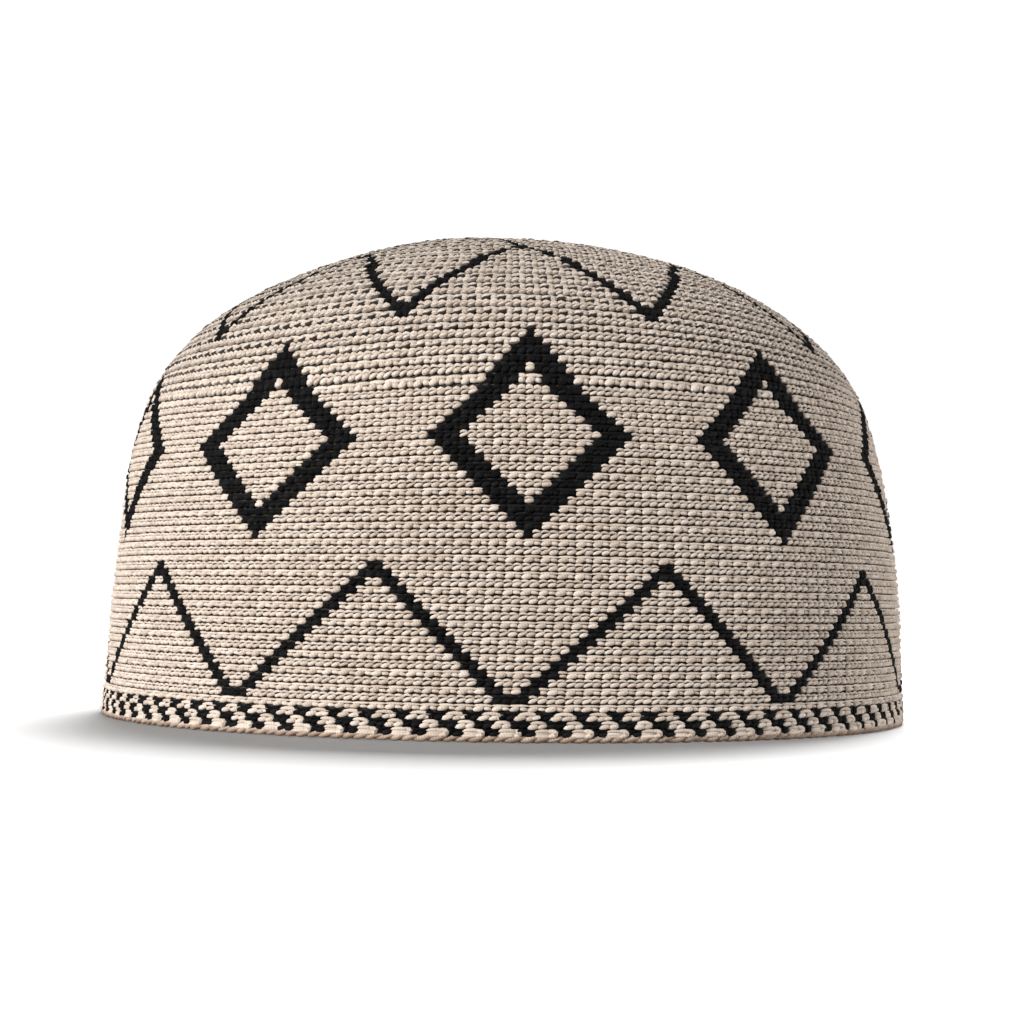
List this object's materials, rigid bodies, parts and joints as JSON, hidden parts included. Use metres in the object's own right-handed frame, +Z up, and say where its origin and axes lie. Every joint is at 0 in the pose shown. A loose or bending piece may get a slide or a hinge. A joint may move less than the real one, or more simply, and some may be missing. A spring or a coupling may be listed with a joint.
{
  "type": "knitted songkok",
  "caption": "Round knitted dome cap with a black zigzag and diamonds on beige, a check band along the rim and a crocheted edging; hollow and open below for the head.",
  "frame": {"origin": "middle of the cap's box, at the level of the surface that the rim stands on", "axes": "+Z up through the crown, -Y the front, +X to the right seen from the front"},
  "size_m": [0.1807, 0.1848, 0.1075],
  "materials": {
    "yarn_beige": "matt cotton and polyester yarn, knitted",
    "yarn_black": "matt black yarn, knitted",
    "yarn_tan": "matt tan yarn, crocheted cord"
  },
  "bodies": {
    "root": {"knit_shell": "yarn_beige", "check_band": "yarn_black", "edging": "yarn_tan"}
  },
  "joints": []
}
